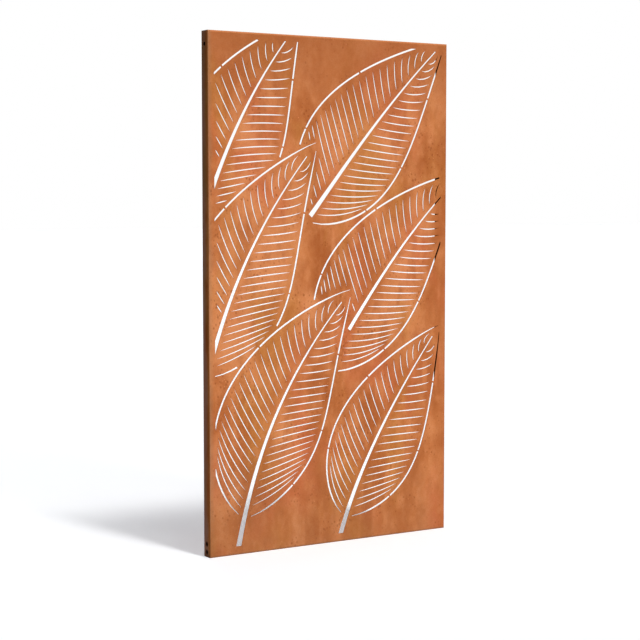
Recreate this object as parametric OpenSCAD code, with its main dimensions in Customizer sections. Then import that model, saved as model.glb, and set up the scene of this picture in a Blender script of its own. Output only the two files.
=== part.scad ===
// Laser cut metal screen: a thin perforated face sheet on a folded C-section frame.
// Millimetres, +Z up. Origin: centre of the footprint, on the floor.
// The face looks towards -Y, so +X is to the right of somebody looking at it.

/* [Panel] */
// Overall width of the screen
panel_w = 1100; // [1080:10:1140]
// Overall height of the screen
panel_h = 2000; // [1980:10:2060]
// Overall depth, front face to back of the frame
panel_d = 51.5; // [46:0.5:70]
// Thickness of the face sheet
sheet_t = 1.5; // [1.5:0.5:3]
// Radius of the dressed edge round the face
arris = 1.2; // [0.4:0.1:1.2]

/* [Frame] */
// Thickness of the folded frame sections
frame_t = 3; // [2:0.5:3]
// Width of the frame's front flange, behind the uncut border
flange_w = 20; // [19:1:22]
// Width of the lip that turns inward at the back
lip_w = 19; // [16:1:20]
// Outside radius of the folds
fold_r = 3.5; // [3.5:0.1:5]

/* [Fixing holes] */
// Diameter of the fixing holes in the uprights
fix_d = 16; // [8:0.5:18]
// Height of the lowest fixing hole above the floor
fix_low = 19; // [18:1:24]
// Height of the second fixing hole, also used from the top edge
fix_high = 50; // [48:1:60]
// Distance of the fixing holes from the back of the frame
fix_back = 25; // [20:1:27]

/* [Corner plates] */
// Length of each leg of a corner plate
corner_leg = 70; // [60:5:90]
// Thickness of a corner plate
corner_t = 2; // [1.5:0.5:3]
// Shank diameter of the corner rivets
rivet_d = 4; // [3:0.1:4.2]

/* [Studs and nuts] */
// Diameter of the weld studs
stud_d = 5; // [4:0.5:5]
// Length of the weld studs
stud_l = 12; // [10:1:16]
// Studs along each upright
studs_v = 7; // [4:1:9]
// Studs along each rail
studs_h = 4; // [2:1:5]

/* [Pattern] */
// Uncut border at the top and the sides of the pattern
border = 26; // [26:1:40]
// Uncut strip along the foot, high enough to hide the lip of the bottom rail
foot_strip = 33; // [26:1:44]
// Width of the slots along a leaf's outline
outline_w = 7; // [5:0.5:9]
// Widest part of a vein slit
vein_w = 4.2; // [3:0.2:6]
// Distance from one vein to the next, measured along the midrib
vein_step = 37; // [32:1:60]
// Width of a midrib slot where it leaves the border
rib_w = 25; // [16:1:28]
// Metal left between an outline and anything beside it
web_w = 14; // [10:1:18]
// Width of the small bridges that hold the leaves in the sheet
bridge_w = 6; // [5:0.5:10]

/* [Hidden] */

y_front = -panel_d / 2;          // the face
y_sheet = y_front + sheet_t;     // back of the face sheet
y_back = panel_d / 2;            // back of the frame
depth = panel_d - sheet_t;       // depth of a frame section
x_out = panel_w / 2;
rust = [0.76, 0.46, 0.28];
rust_dark = [0.36, 0.24, 0.17];
steel = [0.55, 0.5, 0.46];
flange_mid = frame_t + (flange_w - frame_t) / 2; // middle line of a front flange
stud_x = x_out - flange_mid;
rivet_head = 1.6;                // depth of a countersunk head
nut_h = 4.5;

// ---------------------------------------------------------------- leaf pattern
// Each leaf: the four control points of its midrib, from the foot of the stalk to
// the tip (x from the centre line, z from the floor), the half widths of the blade
// on its left and right, and the place along the midrib where the blade starts.
// The first leaf lies in front of the second, and so on.
LEAVES = [
  [[-440, -40], [-370, 320], [-260, 650], [90, 1010], 240, 225, 0.17],
  [[20, -40], [90, 230], [260, 520], [520, 850], 205, 215, 0.17],
  [[-110, 600], [110, 870], [260, 1160], [640, 1480], 245, 215, 0.12],
  [[-600, 560], [-510, 860], [-430, 1180], [-70, 1590], 220, 235, 0.15],
  [[-190, 1200], [20, 1440], [190, 1690], [540, 2010], 240, 215, 0.12],
  [[-600, 1240], [-510, 1460], [-420, 1740], [-150, 2050], 210, 220, 0.12]
];

function bez(L, t) = let (s = 1 - t)
  s*s*s*L[0] + 3*s*s*t*L[1] + 3*s*t*t*L[2] + t*t*t*L[3];
function dbez(L, t) = let (s = 1 - t, d =
  s*s*(L[1] - L[0]) + 2*s*t*(L[2] - L[1]) + t*t*(L[3] - L[2])) d / norm(d);
function left_of(d) = [-d[1], d[0]];
function turn(d, a) = [d[0]*cos(a) - d[1]*sin(a), d[0]*sin(a) + d[1]*cos(a)];

// Half width of a blade at t along the midrib, as a share of its widest
function swell(L, t) = let (u = (t - L[6]) / (1 - L[6]))
  u <= 0 || u >= 1 ? 0 : pow(sin(180 * pow(u, 0.78)), 0.86);
// A point on the edge of a blade; side is 1 for its left edge, -1 for its right
function edge_pt(L, t, side, out = 0) = bez(L, t)
  + side * ((side > 0 ? L[4] : L[5]) * swell(L, t) + out) * left_of(dbez(L, t));

// Closed outline of a leaf and its stalk, grown by the metal left round it
function grown(L) = let (n = 15, a = L[6]) concat(
  [for (i = [0 : 2]) bez(L, a*i/3) + (web_w + rib_w/2) * left_of(dbez(L, a*i/3))],
  [for (i = [0 : n]) edge_pt(L, a + (1 - a)*i/n, 1, web_w)],
  [bez(L, 1) + web_w * dbez(L, 1)],
  [for (i = [0 : n]) edge_pt(L, 1 - (1 - a)*i/n, -1, web_w)],
  [for (i = [2 : -1 : 0]) bez(L, a*i/3) - (web_w + rib_w/2) * left_of(dbez(L, a*i/3))]);
GROWN = [for (L = LEAVES) grown(L)];
LOW = [for (g = GROWN) [min([for (p = g) p[0]]), min([for (p = g) p[1]])]];
HIGH = [for (g = GROWN) [max([for (p = g) p[0]]), max([for (p = g) p[1]])]];

function crossings(p, g) = let (n = len(g)) [for (i = [0 : n - 1])
  let (a = g[i], b = g[(i + 1) % n])
  if ((a[1] > p[1]) != (b[1] > p[1]) &&
      p[0] < (b[0] - a[0]) * (p[1] - a[1]) / (b[1] - a[1]) + a[0]) 1];
function inside(p, k) = p[0] > LOW[k][0] && p[0] < HIGH[k][0] &&
  p[1] > LOW[k][1] && p[1] < HIGH[k][1] && len(crossings(p, GROWN[k])) % 2 == 1;
// A point is open when it lies within the border and under no leaf in front of leaf k
function open_at(p, k, m) = abs(p[0]) < x_out - border - m &&
  p[1] > foot_strip + m && p[1] < panel_h - border - m &&
  len([for (j = [0 : 1 : k - 1]) if (inside(p, j)) 1]) == 0;

// The stretches of a curve that stay open, as pairs of places along it
function stretches(pts, k, m, h = 0) = let (n = len(pts) - 1,
  v = [for (i = [0 : n]) let (p = pts[i], w = h * left_of(heading(pts, i/n)))
    open_at(p, k, m) && open_at(p + w, k, m) && open_at(p - w, k, m)],
  a = [for (i = [0 : n]) if (v[i] && (i == 0 || !v[i - 1])) i],
  b = [for (i = [0 : n]) if (v[i] && (i == n || !v[i + 1])) i])
  [for (i = [0 : 1 : len(a) - 1]) if (b[i] > a[i]) [a[i] / n, b[i] / n]];

function at(pts, s) = let (n = len(pts) - 1, i = min(n - 1, floor(s * n)), f = s * n - i)
  pts[i] * (1 - f) + pts[i + 1] * f;
function heading(pts, s) = let (d = at(pts, min(1, s + 0.03)) - at(pts, max(0, s - 0.03))) d / norm(d);

// A ribbon along part of a curve: half widths follow the list h, from start to end
function ribbon(pts, s0, s1, n, h) = concat(
  [for (i = [0 : n]) let (s = s0 + (s1 - s0)*i/n) at(pts, s) + h[i] * left_of(heading(pts, s))],
  [for (i = [n : -1 : 0]) let (s = s0 + (s1 - s0)*i/n) at(pts, s) - h[i] * left_of(heading(pts, s))]);
// A ribbon that tapers to a point at each end
function sliver(pts, s0, s1, n, w) = concat([at(pts, s0)],
  [for (i = [1 : n - 1]) let (s = s0 + (s1 - s0)*i/n)
    at(pts, s) + w/2 * pow(sin(180*i/n), 0.55) * left_of(heading(pts, s))],
  [at(pts, s1)],
  [for (i = [n - 1 : -1 : 1]) let (s = s0 + (s1 - s0)*i/n)
    at(pts, s) - w/2 * pow(sin(180*i/n), 0.55) * left_of(heading(pts, s))]);

function span(L) = norm(L[1] - L[0]) + norm(L[2] - L[1]) + norm(L[3] - L[2]);

// Half width of a midrib slot at t
function rib_half(t) = max(1.2, rib_w/2 * (1 - 0.86 * pow(max(0, t), 0.75)));
// Where an outline leaves the stalk: the first place with metal between the two slots
function foot(L, side) = [for (i = [0 : 60]) let (t = L[6] + i * 0.003)
  if ((side > 0 ? L[4] : L[5]) * swell(L, t) > rib_half(t) + outline_w/2 + bridge_w) t][0];

// Midrib and stalk of leaf k: one tapered slot from the border almost to the tip
module midrib(k) {
  L = LEAVES[k];
  pts = [for (i = [0 : 60]) bez(L, 0.955 * i/60)];
  for (r = stretches(pts, k, -60, rib_w/2 - 2)) {
    n = max(3, ceil((r[1] - r[0]) * 22));
    if ((r[1] - r[0]) * span(L) > 40)
      polygon(ribbon(pts, r[0], r[1], n, [for (i = [0 : n])
        rib_half(0.955 * (r[0] + (r[1] - r[0])*i/n))]));
  }
}

// Outline of leaf k, cut into lengths by the bridges that hold the blade
module outline(k) {
  L = LEAVES[k];
  gap = bridge_w / span(L);
  for (side = [1, -1]) {
    a = foot(L, side);
    cuts = side > 0 ? [a, 0.4, 0.7, 1] : [a, 0.33, 0.57, 0.83, 0.985];
    for (c = [0 : len(cuts) - 2]) {
      t0 = cuts[c] + gap/2;
      t1 = cuts[c + 1] - gap/2;
      m = ceil((t1 - t0) * 110);
      pts = [for (i = [0 : m]) let (t = t0 + (t1 - t0)*i/m) edge_pt(L, t, side)];
      for (r = stretches(pts, k, -outline_w, outline_w/2)) {
        n = max(2, ceil((r[1] - r[0]) * (t1 - t0) * 44));
        if ((r[1] - r[0]) * (t1 - t0) * span(L) > 24)
          polygon(ribbon(pts, r[0], r[1], n, [for (i = [0 : n])
            let (t = t0 + (t1 - t0) * (r[0] + (r[1] - r[0])*i/n))
            outline_w/2 * min(1, 0.3 + (t - a) * 12, 0.2 + (1 - t) * 9)]));
      }
    }
  }
}

// Veins of leaf k: slits that leave the midrib at a slant and bend towards the tip
module veins(k) {
  L = LEAVES[k];
  step = vein_step / span(L);
  for (side = [1, -1])
    for (t = [L[6] + 0.03 + (side > 0 ? 0 : step/2) : step : 0.93]) {
      d = dbez(L, t);
      p0 = bez(L, t) + side * (rib_half(t) + 9) * left_of(d);
      te = t + 0.03 + 0.16 * (1 - t);
      q = edge_pt(L, te, side, -outline_w/2 - 12);
      p1 = p0 + norm(q - p0) * 0.5 * turn(d, side * 58);
      if (norm(q - p0) > 30 && (side > 0 ? L[4] : L[5]) * swell(L, te) > rib_half(t) + 30) {
        pts = [for (i = [0 : 24]) let (u = i/24, s = 1 - u) s*s*p0 + 2*s*u*p1 + u*u*q];
        for (r = stretches(pts, k, 3)) {
          run = (r[1] - r[0]) * norm(q - p0);
          if (run > 24)
            polygon(sliver(pts, r[0], r[1], max(4, min(8, ceil(run / 26))), vein_w));
        }
      }
    }
}

// Uncut outline of the face, x across and z up
module blank() {
  translate([-x_out, 0]) square([panel_w, panel_h]);
}

module pattern() {
  intersection() {
    translate([-x_out + border, foot_strip]) square([panel_w - 2*border, panel_h - border - foot_strip]);
    union() for (k = [0 : len(LEAVES) - 1]) {
      midrib(k);
      outline(k);
    }
  }
  for (k = [0 : len(LEAVES) - 1]) veins(k);
}

// Stands a drawing of the face upright, its thickness running back from y
module upright(y, t) {
  translate([0, y + t, 0]) rotate([90, 0, 0]) linear_extrude(t) children();
}

// What is dressed off an edge of the face, for an edge along z at x = y = 0
module off_edge(run) {
  translate([0, 0, -1]) linear_extrude(run + 2) difference() {
    translate([-1, -1]) square(arris + 1);
    translate([arris, arris]) circle(r = arris, $fn = 48);
  }
}

module front_sheet() {
  color(rust) difference() {
    upright(y_front, sheet_t) difference() {
      blank();
      pattern();
    }
    for (s = [0, 1]) {
      mirror([s, 0, 0]) translate([-x_out, y_front, 0]) off_edge(panel_h);
      translate([0, 0, s * panel_h]) mirror([0, 0, s])
        translate([x_out, y_front, 0]) rotate([0, -90, 0]) off_edge(panel_w);
    }
  }
}

// ---------------------------------------------------------------- folded frame
// Section of a frame member: u inward from its outer face, v back from the sheet.
// Front flange, web and back lip, with a round fold between web and lip.
module section() {
  square([flange_w, frame_t]);
  square([frame_t, depth - fold_r]);
  translate([fold_r, depth - frame_t]) square([lip_w - fold_r, frame_t]);
  translate([fold_r, depth - fold_r]) intersection() {
    difference() {
      circle(r = fold_r, $fn = 48);
      circle(r = fold_r - frame_t, $fn = 48);
    }
    translate([-fold_r - 1, 0]) square([fold_r + 1, fold_r + 1]);
  }
}

// Places along a line, n of them, the first and last at a and b
function places(a, b, n) = [for (i = [0 : n - 1]) a + (b - a) * i / (n - 1)];
STUDS = concat(
  [for (sx = [-1, 1], z = places(80, panel_h - 80, studs_v)) [sx * stud_x, z]],
  [for (z = [flange_mid, panel_h - flange_mid], x = places(150 - x_out, x_out - 150, studs_h)) [x, z]]);

// A hole or a shank through the front flange at every stud
module at_studs() {
  for (p = STUDS) translate([p[0], y_sheet, p[1]]) rotate([-90, 0, 0]) children();
}

// Corner rivets: two on each leg of a corner plate, on the middle line of the lip
lip_mid = fold_r + (lip_w - fold_r) / 2;
RIVETS = [for (d = [0.4, 0.82], leg = [0, 1]) leg == 0
  ? [lip_mid, fold_r + d * corner_leg] : [fold_r + d * corner_leg, lip_mid]];
module at_rivets() {
  for (sx = [-1, 1], top = [0, 1], p = RIVETS)
    translate([sx * (x_out - p[0]), y_back, top ? panel_h - p[1] : p[1]])
      rotate([90, 0, 0]) children();
}
// The countersunk seat of a corner rivet, from the back of the lip inward
module rivet_seat(gap) {
  translate([0, 0, -gap]) cylinder(h = rivet_head + gap, r1 = rivet_d/2 + rivet_head + gap, r2 = rivet_d/2, $fn = 32);
  cylinder(h = frame_t + corner_t + 0.02, r = rivet_d/2, $fn = 32);
}

// Cuts the flange and lip of a member at 45 degrees, so that the corners meet in mitres
module mitre(pts) {
  translate([0, y_back + 1, 0]) rotate([90, 0, 0]) linear_extrude(panel_d + 2) polygon(pts);
}

// An upright on the left; the right one is its mirror image
module stile() {
  far = max(flange_w, lip_w) + 5;
  difference() {
    translate([-x_out, y_sheet, 0]) linear_extrude(panel_h) section();
    mitre([[-x_out + frame_t, -1], [-x_out + far, -1], [-x_out + far, far], [-x_out + frame_t, frame_t]]);
    mitre([[-x_out + frame_t, panel_h + 1], [-x_out + far, panel_h + 1], [-x_out + far, panel_h - far], [-x_out + frame_t, panel_h - frame_t]]);
    for (z = [fix_low, fix_high, panel_h - fix_high])
      translate([-x_out - 1, y_back - fix_back, z]) rotate([0, 90, 0]) cylinder(h = frame_t + 2, d = fix_d, $fn = 48);
    at_studs() translate([0, 0, -1]) cylinder(h = frame_t + 2, r = stud_d/2 + 0.25, $fn = 32);
    at_rivets() rivet_seat(0.01);
  }
}

// The rail at the foot; the top one is its mirror image
module rail() {
  far = max(flange_w, lip_w) + 5;
  half = x_out - frame_t;
  difference() {
    translate([half, y_sheet, 0]) rotate([0, -90, 0]) linear_extrude(2 * half) section();
    for (s = [-1, 1])
      mitre([[s * (x_out - 1), 1], [s * (x_out - far), far], [s * (x_out - 1), far]]);
    at_studs() translate([0, 0, -1]) cylinder(h = frame_t + 2, r = stud_d/2 + 0.25, $fn = 32);
    at_rivets() rivet_seat(0.01);
  }
}
module left_stile() { color(rust_dark) stile(); }
module right_stile() { color(rust_dark) mirror([1, 0, 0]) stile(); }
module bottom_rail() { color(rust_dark) rail(); }
module top_rail() { color(rust_dark) translate([0, 0, panel_h]) mirror([0, 0, 1]) rail(); }

// ---------------------------------------------------------------- corners
// Flat L plate behind a corner, against the inner faces of the two lips
module corner_plate() {
  w = lip_w - fold_r;
  difference() {
    translate([-x_out, y_back - frame_t, 0]) rotate([90, 0, 0]) linear_extrude(corner_t)
      polygon([[fold_r, fold_r], [fold_r + corner_leg, fold_r], [fold_r + corner_leg, fold_r + w],
        [fold_r + w + 6, fold_r + w], [fold_r + w, fold_r + w + 6], [fold_r + w, fold_r + corner_leg], [fold_r, fold_r + corner_leg]]);
    at_rivets() translate([0, 0, frame_t - 1]) cylinder(h = corner_t + 2, r = rivet_d/2, $fn = 32);
  }
}
module corner_plate_bottom_left() { color(rust_dark) corner_plate(); }
module corner_plate_bottom_right() { color(rust_dark) mirror([1, 0, 0]) corner_plate(); }
module corner_plate_top_left() { color(rust_dark) translate([0, 0, panel_h]) mirror([0, 0, 1]) corner_plate(); }
module corner_plate_top_right() { color(rust_dark) translate([0, 0, panel_h]) mirror([0, 0, 1]) mirror([1, 0, 0]) corner_plate(); }

// Flush rivets: countersunk head in the lip, shank, and a head set on the plate
module corner_rivets() {
  color(steel) at_rivets() {
    cylinder(h = rivet_head, r1 = rivet_d/2 + rivet_head, r2 = rivet_d/2, $fn = 32);
    cylinder(h = frame_t + corner_t, r = rivet_d/2, $fn = 32);
    translate([0, 0, frame_t + corner_t]) rivet_tail();
  }
}
// The head set on the inside: a low barrel with a small mandrel stub
module rivet_tail() {
  cylinder(h = 1.2, r1 = rivet_d * 0.78, r2 = rivet_d * 0.82, $fn = 32);
  translate([0, 0, 1.2]) cylinder(h = 1.4, r1 = rivet_d * 0.82, r2 = rivet_d * 0.45, $fn = 32);
}

// ---------------------------------------------------------------- studs and nuts
module weld_studs() {
  color(steel) at_studs() {
    cylinder(h = stud_l - 0.6, d = stud_d, $fn = 32);
    translate([0, 0, stud_l - 0.6]) cylinder(h = 0.6, d1 = stud_d, d2 = stud_d - 1.2, $fn = 32);
  }
}
module flange_nuts() {
  color(steel) at_studs() translate([0, 0, frame_t]) difference() {
    union() {
      cylinder(h = 1.1, d = stud_d * 2.3, $fn = 40);
      cylinder(h = nut_h, d = stud_d * 1.6 / cos(30), $fn = 6);
    }
    translate([0, 0, -1]) cylinder(h = nut_h + 2, d = stud_d, $fn = 32);
  }
}

front_sheet();
left_stile();
right_stile();
top_rail();
bottom_rail();
corner_plate_top_left();
corner_plate_top_right();
corner_plate_bottom_left();
corner_plate_bottom_right();
corner_rivets();
weld_studs();
flange_nuts();
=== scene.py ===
"""Laser cut metal screen: finish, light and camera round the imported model. Metres, +Z up."""
import math

import bpy
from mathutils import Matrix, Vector

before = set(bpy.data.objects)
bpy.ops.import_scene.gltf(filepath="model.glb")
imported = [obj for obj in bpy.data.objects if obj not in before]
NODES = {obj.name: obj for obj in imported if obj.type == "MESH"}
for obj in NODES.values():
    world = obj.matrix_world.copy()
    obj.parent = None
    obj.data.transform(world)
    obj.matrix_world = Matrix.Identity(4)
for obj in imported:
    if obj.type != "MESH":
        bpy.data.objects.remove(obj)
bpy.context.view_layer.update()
scene = bpy.context.scene


# ------------------------------------------------------------------ node helpers
class Tree:
    """A material's node tree, with short calls for the nodes used here."""

    def __init__(self, name):
        self.mat = bpy.data.materials.new(name)
        self.mat.use_nodes = True
        self.nt = self.mat.node_tree
        self.nt.nodes.clear()
        self.out = self.nt.nodes.new("ShaderNodeOutputMaterial")
        self.bsdf = self.nt.nodes.new("ShaderNodeBsdfPrincipled")
        self.link(self.bsdf.outputs["BSDF"], self.out.inputs["Surface"])
        self.geo = self.nt.nodes.new("ShaderNodeTexCoord").outputs["Object"]

    def new(self, kind, **props):
        n = self.nt.nodes.new(kind)
        for k, v in props.items():
            setattr(n, k, v)
        return n

    def link(self, a, b):
        self.nt.links.new(a, b)

    def stretch(self, scale, shift=(0, 0, 0)):
        """Object coordinates, scaled on each axis and moved."""
        m = self.new("ShaderNodeMapping")
        self.link(self.geo, m.inputs["Vector"])
        m.inputs["Scale"].default_value = scale
        m.inputs["Location"].default_value = shift
        return m.outputs["Vector"]

    def noise(self, vec, scale, detail=4.0, rough=0.55, distort=0.0):
        n = self.new("ShaderNodeTexNoise")
        self.link(vec, n.inputs["Vector"])
        n.inputs["Scale"].default_value = scale
        n.inputs["Detail"].default_value = detail
        n.inputs["Roughness"].default_value = rough
        n.inputs["Distortion"].default_value = distort
        return n.outputs["Fac"]

    def cells(self, vec, scale, feature="F1", out="Distance", rand=1.0):
        n = self.new("ShaderNodeTexVoronoi", feature=feature)
        self.link(vec, n.inputs["Vector"])
        n.inputs["Scale"].default_value = scale
        n.inputs["Randomness"].default_value = rand
        return n.outputs[out]

    def ramp(self, fac, stops, mode="LINEAR"):
        n = self.new("ShaderNodeValToRGB")
        n.color_ramp.interpolation = mode
        els = n.color_ramp.elements
        while len(els) < len(stops):
            els.new(0.5)
        for e, (p, c) in zip(els, stops):
            e.position = p
            e.color = c if len(c) == 4 else (*c, 1.0)
        self.link(fac, n.inputs["Fac"])
        return n.outputs["Color"]

    def span(self, fac, a, b, lo=0.0, hi=1.0):
        """Maps a..b to lo..hi, clamped."""
        n = self.new("ShaderNodeMapRange")
        self.link(fac, n.inputs["Value"])
        n.inputs["From Min"].default_value = a
        n.inputs["From Max"].default_value = b
        n.inputs["To Min"].default_value = lo
        n.inputs["To Max"].default_value = hi
        return n.outputs["Result"]

    def math(self, op, a, b=None):
        n = self.new("ShaderNodeMath", operation=op)
        for i, v in enumerate((a, b)):
            if v is None:
                continue
            if isinstance(v, (int, float)):
                n.inputs[i].default_value = v
            else:
                self.link(v, n.inputs[i])
        return n.outputs["Value"]

    def mix(self, fac, a, b, blend="MIX"):
        n = self.new("ShaderNodeMix", data_type="RGBA", blend_type=blend)
        n.inputs["Factor"].default_value = 1.0
        for socket, v in ((n.inputs["Factor"], fac), (n.inputs[6], a), (n.inputs[7], b)):
            if isinstance(v, (int, float)):
                socket.default_value = v
            elif isinstance(v, tuple):
                socket.default_value = v if len(v) == 4 else (*v, 1.0)
            else:
                self.link(v, socket)
        return n.outputs[2]

    def bump(self, height, strength, distance, normal=None):
        n = self.new("ShaderNodeBump")
        self.link(height, n.inputs["Height"])
        n.inputs["Strength"].default_value = strength
        n.inputs["Distance"].default_value = distance
        if normal is not None:
            self.link(normal, n.inputs["Normal"])
        return n.outputs["Normal"]


def srgb(r, g, b):
    """8-bit display colour to linear light."""
    def lin(v):
        v /= 255
        return v / 12.92 if v <= 0.04045 else ((v + 0.055) / 1.055) ** 2.4
    return (lin(r), lin(g), lin(b))


# ------------------------------------------------------------------ weathering steel
def tint(c, k):
    return tuple(v * k for v in c)


def corten(name, seed, base, dark, warm, ochre, pale, low_tone, contrast=1.0, foot=0.35,
           scale_and_shade_skin=None, painted_depth_tones=None, arris_light_shade_grey=None):
    """Rust patina: broad soft zones, clouds and blotches, short runs, fine grain, pits and flecks.

    The last three are optional. The first is the colour of the sheltered inside of the frame,
    which keeps its dark mill scale, made darker still as painted shade in the hollow. The second
    holds the two colours that the outside takes towards the open back: painted light, greyer at
    the back and warmer by the front fold. The third is the greyer, paler colour painted along the
    face's left arris as an edge highlight, and, darkened, along its bottom arris as contact shade."""
    t = Tree(name)
    sx, sy, sz = seed
    at = lambda scale, k: t.stretch(scale, (sx + 3.1 * k, sy + 1.7 * k, sz + 2.3 * k))
    sep = t.new("ShaderNodeSeparateXYZ")
    t.link(t.geo, sep.inputs[0])
    side = t.math("ABSOLUTE", sep.outputs["X"])
    # zones of 300 to 600 mm, and clouds of 100 to 250 mm, longer down the sheet than across
    zones = t.noise(at((1.0, 1.0, 0.7), 0), 2.1, 2.0, 0.5, 0.3)
    col = t.mix(t.span(zones, 0.50, 0.31, 0.0, 0.98 * contrast), base, dark)
    col = t.mix(t.span(zones, 0.50, 0.69, 0.0, 0.98 * contrast), col, pale)
    clouds = t.noise(at((1.0, 1.0, 0.55), 12), 5.5, 3.0, 0.5, 0.25)
    col = t.mix(t.span(clouds, 0.51, 0.32, 0.0, contrast), col, dark)
    col = t.mix(t.span(clouds, 0.51, 0.68, 0.0, contrast), col, pale)
    # reddish and ochre zones
    red = t.noise(at((1.0, 1.0, 0.6), 1), 4.2, 3.0, 0.5, 0.35)
    col = t.mix(t.span(red, 0.50, 0.68, 0.0, 0.85 * contrast), col, warm)
    yel = t.noise(at((1.0, 1.0, 0.5), 2), 5.0, 3.0, 0.5, 0.35)
    col = t.mix(t.span(yel, 0.51, 0.68, 0.0, 0.65 * contrast), col, ochre)
    # blotches of 15 to 50 mm
    blot = t.noise(at((1.0, 1.0, 0.6), 3), 19.0, 3.0, 0.55, 0.2)
    col = t.mix(t.span(blot, 0.50, 0.28, 0.0, 0.58 * contrast), col, dark)
    col = t.mix(t.span(blot, 0.50, 0.72, 0.0, 0.58 * contrast), col, pale)
    # soft runs, broken up so that they stay short
    runs = t.noise(at((1.0, 1.0, 0.09), 4), 34.0, 2.0, 0.5)
    cut = t.noise(at((1.0, 1.0, 1.0), 5), 7.0, 2.0, 0.5)
    runs = t.math("MULTIPLY", t.span(runs, 0.50, 0.68, 0.0, 0.4 * contrast), t.span(cut, 0.47, 0.64))
    col = t.mix(runs, col, tint(pale, 1.04))
    # small dark pits and pale flecks, in loose groups
    near = t.span(t.noise(at((1.0, 1.0, 1.0), 6), 9.0, 3.0, 0.6), 0.38, 0.70)
    pits = t.cells(at((1.0, 1.0, 0.8), 7), 70.0)
    pit = t.span(t.math("SUBTRACT", t.math("MULTIPLY", near, 0.36), pits), -0.07, 0.13, 0.0, 0.6)
    col = t.mix(pit, col, (dark[0] * 0.66, dark[1] * 0.56, dark[2] * 0.5))
    flecks = t.cells(at((1.0, 1.0, 0.8), 8), 70.0)
    fleck = t.span(t.math("SUBTRACT", t.math("MULTIPLY", near, 0.22), flecks), -0.02, 0.08, 0.0, 0.6)
    col = t.mix(fleck, col, tint(pale, 1.15))
    # darker just above the ground, more on the left, and a darker band along the top
    low_dark = t.math("ADD", sep.outputs["Z"], t.span(t.noise(at((1.0, 1.0, 0.4), 9), 8.0, 3.0, 0.6), 0.3, 0.7, -0.12, 0.12))
    low_dark = t.math("ADD", low_dark, t.math("MULTIPLY", sep.outputs["X"], 0.25))
    col = t.mix(t.span(low_dark, 0.36, 0.0, 0.0, foot), col, low_tone)
    top = t.math("ADD", sep.outputs["Z"], t.span(clouds, 0.3, 0.7, -0.06, 0.06))
    col = t.mix(t.span(top, 1.68, 1.96, 0.0, 0.62), col, (dark[0] * 0.95, dark[1] * 1.01, dark[2] * 1.22))
    if arris_light_shade_grey:
        # a shade darker along the right border
        right = t.math("ADD", sep.outputs["X"], t.span(blot, 0.3, 0.7, -0.008, 0.008))
        col = t.mix(t.span(right, 0.492, 0.530, 0.0, 0.3), col, dark)
        # painted highlight along the top arris, where it catches the light from above, and painted contact shade along
        # the bottom one
        col = t.mix(t.span(sep.outputs["Z"], 1.9925, 1.9965, 0.0, 0.6), col, tint(pale, 1.12))
        col = t.mix(t.span(sep.outputs["Z"], 0.009, 0.003, 0.0, 0.4), col, tint(arris_light_shade_grey, 0.6))
        # painted edge highlight: a greyer, paler band along the left arris, weaker towards the foot
        left = t.math("ADD", sep.outputs["X"], t.span(blot, 0.3, 0.7, -0.004, 0.004))
        left = t.math("MULTIPLY", t.span(left, -0.529, -0.546, 0.0, 0.42), t.span(sep.outputs["Z"], 0.04, 0.25, 0.35, 1.0))
        col = t.mix(left, col, arris_light_shade_grey)
        # and darker towards the lower left corner
        corner = t.math("MULTIPLY", t.span(sep.outputs["X"], -0.500, -0.546), t.span(sep.outputs["Z"], 0.20, 0.02, 0.0, 0.5))
        col = t.mix(corner, col, (dark[0] * 0.66, dark[1] * 0.76, dark[2] * 0.6))
    if painted_depth_tones:
        # painted light: the return turns greyer towards the open back and stays warmer by the front fold, as the light
        # on it changes across its depth
        back = t.math("ADD", sep.outputs["Y"], t.span(clouds, 0.3, 0.7, -0.010, 0.010))
        back = t.math("ADD", back, t.span(blot, 0.3, 0.7, -0.006, 0.006))
        hue = t.math("ADD", red, t.span(sep.outputs["Z"], 0.3, 1.5, -0.08, 0.08))
        col = t.mix(t.span(back, -0.014, 0.008, 0.0, 0.92), col, t.mix(t.span(hue, 0.44, 0.58), *painted_depth_tones))
        # brighter towards the foot, and a painted highlight along the front fold, standing in for the light on its
        # rounded bend
        col = t.mix(1.0, col, t.ramp(t.span(sep.outputs["Z"], 0.0, 2.0), [(0.0, (1.2, 1.2, 1.2)), (1.0, (0.82, 0.81, 0.8))]), "MULTIPLY")
        col = t.mix(t.span(sep.outputs["Y"], -0.0150, -0.0232, 0.0, 0.8), col, (pale[0] * 1.22, pale[1] * 1.10, pale[2]))
        # and painted contact shade along the foot, where it stands on the ground
        foot_shade = t.math("ADD", sep.outputs["Z"], t.span(blot, 0.3, 0.7, -0.008, 0.008))
        col = t.mix(t.span(foot_shade, 0.030, 0.004, 0.0, 0.6), col, tint(low_tone, 0.35))
    # mottle of 10 to 25 mm, greyer and redder, and the fine grain of the oxide
    mottle = t.noise(at((1.0, 1.0, 0.8), 13), 52.0, 2.0, 0.5)
    col = t.mix(0.2, col, t.ramp(mottle, [(0.30, (0.90, 0.72, 0.50)), (0.5, (1, 1, 1)), (0.70, (1.08, 1.28, 1.55))]), "MULTIPLY")
    grain = t.noise(at((1.0, 1.0, 1.0), 10), 260.0, 4.0, 0.6)
    col = t.mix(0.22, col, t.ramp(grain, [(0.28, (0.62, 0.44, 0.28)), (0.5, (1, 1, 1)), (0.72, (1.26, 1.42, 1.62))]), "MULTIPLY")
    if scale_and_shade_skin:
        # inside the hollow of the frame, off the outer faces on every side: dark mill scale, made darker still as
        # painted shade for the hollow
        deep = t.span(sep.outputs["Y"], 0.0252, 0.0240)
        deep = t.math("MULTIPLY", deep, t.span(sep.outputs["Y"], -0.0236, -0.0224))
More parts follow.
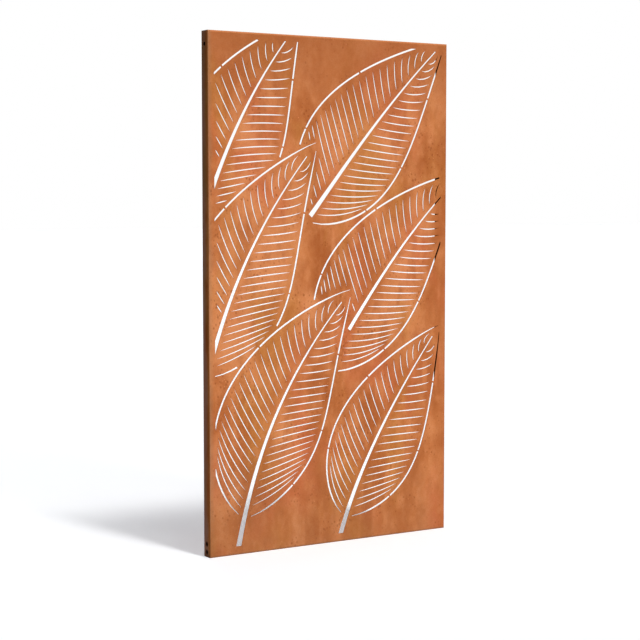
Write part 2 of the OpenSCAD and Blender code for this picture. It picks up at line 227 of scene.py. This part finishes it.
        # a darker ring round each of the two low fixing holes
        for low in (0.019, 0.050):
            dy = t.math("SUBTRACT", sep.outputs["Y"], 0.00075)
            dz = t.math("SUBTRACT", sep.outputs["Z"], low)
            off = t.math("SQRT", t.math("ADD", t.math("MULTIPLY", dy, dy), t.math("MULTIPLY", dz, dz)))
            ring = t.math("MULTIPLY", t.span(off, 0.0135, 0.0085, 0.0, 0.55), t.span(side, 0.5490, 0.5496))
            col = t.mix(ring, col, tint(dark, 0.22))
        # painted shade: the walls of the fixing holes are dark right from the outer face
        bore_wall_shade = t.math("ABSOLUTE", t.math("SUBTRACT", sep.outputs["Y"], 0.00075))
        bore_wall_shade = t.math("MULTIPLY", t.span(bore_wall_shade, 0.0120, 0.0100), t.span(side, 0.5499, 0.5495))
        deep = t.math("MULTIPLY", deep, t.math("MAXIMUM", t.span(side, 0.5494, 0.5482), bore_wall_shade))
        deep = t.math("MULTIPLY", deep, t.span(sep.outputs["Z"], 0.0006, 0.0018))
        deep = t.math("MULTIPLY", deep, t.span(sep.outputs["Z"], 1.9994, 1.9982))
        skin = t.mix(t.span(blot, 0.35, 0.65, 0.0, 1.0), tint(scale_and_shade_skin, 0.6), scale_and_shade_skin)
        # rust breaks through the scale in patches
        skin = t.mix(t.math("MULTIPLY", t.span(clouds, 0.50, 0.66), t.span(blot, 0.42, 0.62, 0.15, 0.75)), skin, tint(dark, 0.26))
        col = t.mix(deep, col, skin)
    t.link(col, t.bsdf.inputs["Base Color"])
    t.bsdf.inputs["Metallic"].default_value = 0.0
    t.link(t.span(blot, 0.3, 0.7, 0.74, 0.92), t.bsdf.inputs["Roughness"])
    t.bsdf.inputs["Specular IOR Level"].default_value = 0.1
    # relief: arrises rounded by a few mm round the panel and 1 mm at the cuts, then
    # grain, pits and a slight waviness of thin sheet
    if painted_depth_tones:
        rim = t.span(sep.outputs["Y"], -0.014, -0.019)
    else:
        rim = t.math("MAXIMUM", t.span(side, 0.538, 0.542),
                     t.math("MAXIMUM", t.span(sep.outputs["Z"], 0.012, 0.008), t.span(sep.outputs["Z"], 1.988, 1.992)))
    arris = t.new("ShaderNodeBevel")
    arris.samples = 6
    t.link(t.span(rim, 0.0, 1.0, 0.0011, 0.005), arris.inputs["Radius"])
    n = t.bump(t.noise(at((1.0, 1.0, 1.0), 11), 3.2, 2.0, 0.5), 0.12, 0.01, arris.outputs["Normal"])
    n = t.bump(blot, 0.18, 0.0015, n)
    n = t.bump(pit, 0.3, -0.0006, n)
    n = t.bump(grain, 0.3, 0.0006, n)
    t.link(n, t.bsdf.inputs["Normal"])
    return t.mat


FACE = corten(
    "face_patina", (0.0, 0.0, 0.0),
    base=srgb(183, 109, 61), dark=srgb(161, 88, 43), warm=srgb(187, 99, 61),
    ochre=srgb(177, 113, 52), pale=srgb(203, 130, 82), low_tone=srgb(142, 89, 56),
    foot=0.42, arris_light_shade_grey=srgb(147, 114, 82))
FRAME = corten(
    "frame_patina", (4.7, 2.9, 1.3),
    base=srgb(200, 109, 44), dark=srgb(176, 92, 36), warm=srgb(200, 100, 42),
    ochre=srgb(176, 122, 52), pale=srgb(208, 130, 68), low_tone=srgb(164, 112, 84), contrast=1.3,
    foot=0.15, scale_and_shade_skin=srgb(46, 31, 25), painted_depth_tones=(srgb(181, 128, 106), srgb(166, 122, 80)))


def tarnish(name):
    t = Tree(name)
    n1 = t.noise(t.stretch((1, 1, 1)), 160.0, 4.0, 0.6)
    col = t.mix(t.span(n1, 0.4, 0.62), srgb(92, 84, 76), srgb(100, 66, 44))
    t.link(col, t.bsdf.inputs["Base Color"])
    t.link(t.span(n1, 0.4, 0.62, 0.9, 0.15), t.bsdf.inputs["Metallic"])
    t.link(t.span(n1, 0.35, 0.65, 0.4, 0.8), t.bsdf.inputs["Roughness"])
    t.link(t.bump(n1, 0.3, 0.0004), t.bsdf.inputs["Normal"])
    return t.mat


FASTENER = tarnish("tarnished_steel")

LOOK = {"front_sheet": FACE}
for n in NODES:
    if n in ("corner_rivets", "weld_studs", "flange_nuts"):
        LOOK[n] = FASTENER
    elif n != "front_sheet":
        LOOK[n] = FRAME

for name, obj in NODES.items():
    if not obj.data.materials:
        obj.data.materials.append(LOOK[name])
    for slot in obj.material_slots:
        slot.material = LOOK[name]


# ------------------------------------------------------------------ stage
def stage_mat(name, colour, rough=0.9, glow=(0, 0, 0)):
    """Plain studio floor; glow is the even light that a lit-through sweep gives off."""
    t = Tree(name)
    t.bsdf.inputs["Emission Color"].default_value = (*glow, 1.0)
    t.bsdf.inputs["Emission Strength"].default_value = 1.0
    t.bsdf.inputs["Base Color"].default_value = (*colour, 1.0)
    t.bsdf.inputs["Roughness"].default_value = rough
    t.bsdf.inputs["Specular IOR Level"].default_value = 0.1
    return t.mat


me = bpy.data.meshes.new("floor")
S = 60.0
me.from_pydata([(-S, -S, 0), (S, -S, 0), (S, S, 0), (-S, S, 0)], [], [(0, 1, 2, 3)])
floor = bpy.data.objects.new("floor", me)
scene.collection.objects.link(floor)
me.materials.append(stage_mat("floor_white", (0.91, 0.91, 0.91), glow=(0.257, 0.276, 0.302)))
floor.visible_diffuse = False
floor.visible_glossy = False

# ------------------------------------------------------------------ light
world = bpy.data.worlds.new("studio")
scene.world = world
world.use_nodes = True
nt = world.node_tree
nt.nodes.clear()
wo = nt.nodes.new("ShaderNodeOutputWorld")
seen = nt.nodes.new("ShaderNodeBackground")
lit = nt.nodes.new("ShaderNodeBackground")
mixw = nt.nodes.new("ShaderNodeMixShader")
path = nt.nodes.new("ShaderNodeLightPath")
coord = nt.nodes.new("ShaderNodeTexCoord")
sep = nt.nodes.new("ShaderNodeSeparateXYZ")
up = nt.nodes.new("ShaderNodeMapRange")
up.interpolation_type = "SMOOTHSTEP"
nt.links.new(coord.outputs["Generated"], sep.inputs[0])
nt.links.new(sep.outputs["Z"], up.inputs["Value"])
up.inputs["From Min"].default_value = 0.25
up.inputs["From Max"].default_value = 0.85
up.inputs["To Min"].default_value = 0.10
up.inputs["To Max"].default_value = 0.25
seen.inputs["Color"].default_value = (1, 1, 1, 1)
seen.inputs["Strength"].default_value = 1.0
lit.inputs["Color"].default_value = (1, 1, 1, 1)
nt.links.new(up.outputs["Result"], lit.inputs["Strength"])
nt.links.new(path.outputs["Is Camera Ray"], mixw.inputs["Fac"])
nt.links.new(lit.outputs[0], mixw.inputs[1])
nt.links.new(seen.outputs[0], mixw.inputs[2])
nt.links.new(mixw.outputs[0], wo.inputs["Surface"])


def sun(name, az, el, strength, angle, colour=(1, 1, 1)):
    """A sun whose light comes from azimuth az (0 = from -Y, positive towards +X) and height el."""
    light = bpy.data.lights.new(name, "SUN")
    light.energy = strength
    light.angle = math.radians(angle)
    light.color = colour
    o = bpy.data.objects.new(name, light)
    scene.collection.objects.link(o)
    a, e = math.radians(az), math.radians(el)
    towards = Vector((math.sin(a) * math.cos(e), -math.cos(a) * math.cos(e), math.sin(e)))
    o.rotation_euler = towards.to_track_quat("Z", "Y").to_euler()
    o.location = towards * 6
    return o


# a tall, narrow soft light in front on the right, with a wider soft glow round it: its
# shadow is soft at the far end and firmer at the side
STEPS = 6
for i in range(STEPS):
    sun("key_%d" % i, 10.6, 60.2 + 8.5 * i / (STEPS - 1), 0.40 * math.pi / STEPS, 6.0)
sun("key_wide", 10.6, 64.4, 0.156 * math.pi, 22.0)
sun("front_fill", 10.6, 5.0, 0.835 * math.pi, 10.0)
sun("left_fill", -75.0, 6.0, 0.13 * math.pi, 30.0, (0.90, 1.0, 1.10))
sun("right_fill", 105.0, 3.5, 0.30 * math.pi, 7.0)
sun("back_fill", 165.0, 3.0, 0.52 * math.pi, 6.0)

# ------------------------------------------------------------------ camera
cam_data = bpy.data.cameras.new("camera")
cam_data.sensor_width = 36.0
cam_data.lens = 36.0 * 1609.45 / 640
cam_data.clip_end = 200
cam = bpy.data.objects.new("camera", cam_data)
cam.location = (-3.3665, -5.4162, 1.3704)
cam.rotation_euler = (math.radians(90 - 4.3046), 0.0, math.radians(-31.5443))
scene.collection.objects.link(cam)
scene.camera = cam

scene.view_settings.view_transform = "Standard"
scene.view_settings.look = "None"
scene.view_settings.exposure = 0.0
scene.view_settings.gamma = 1.0
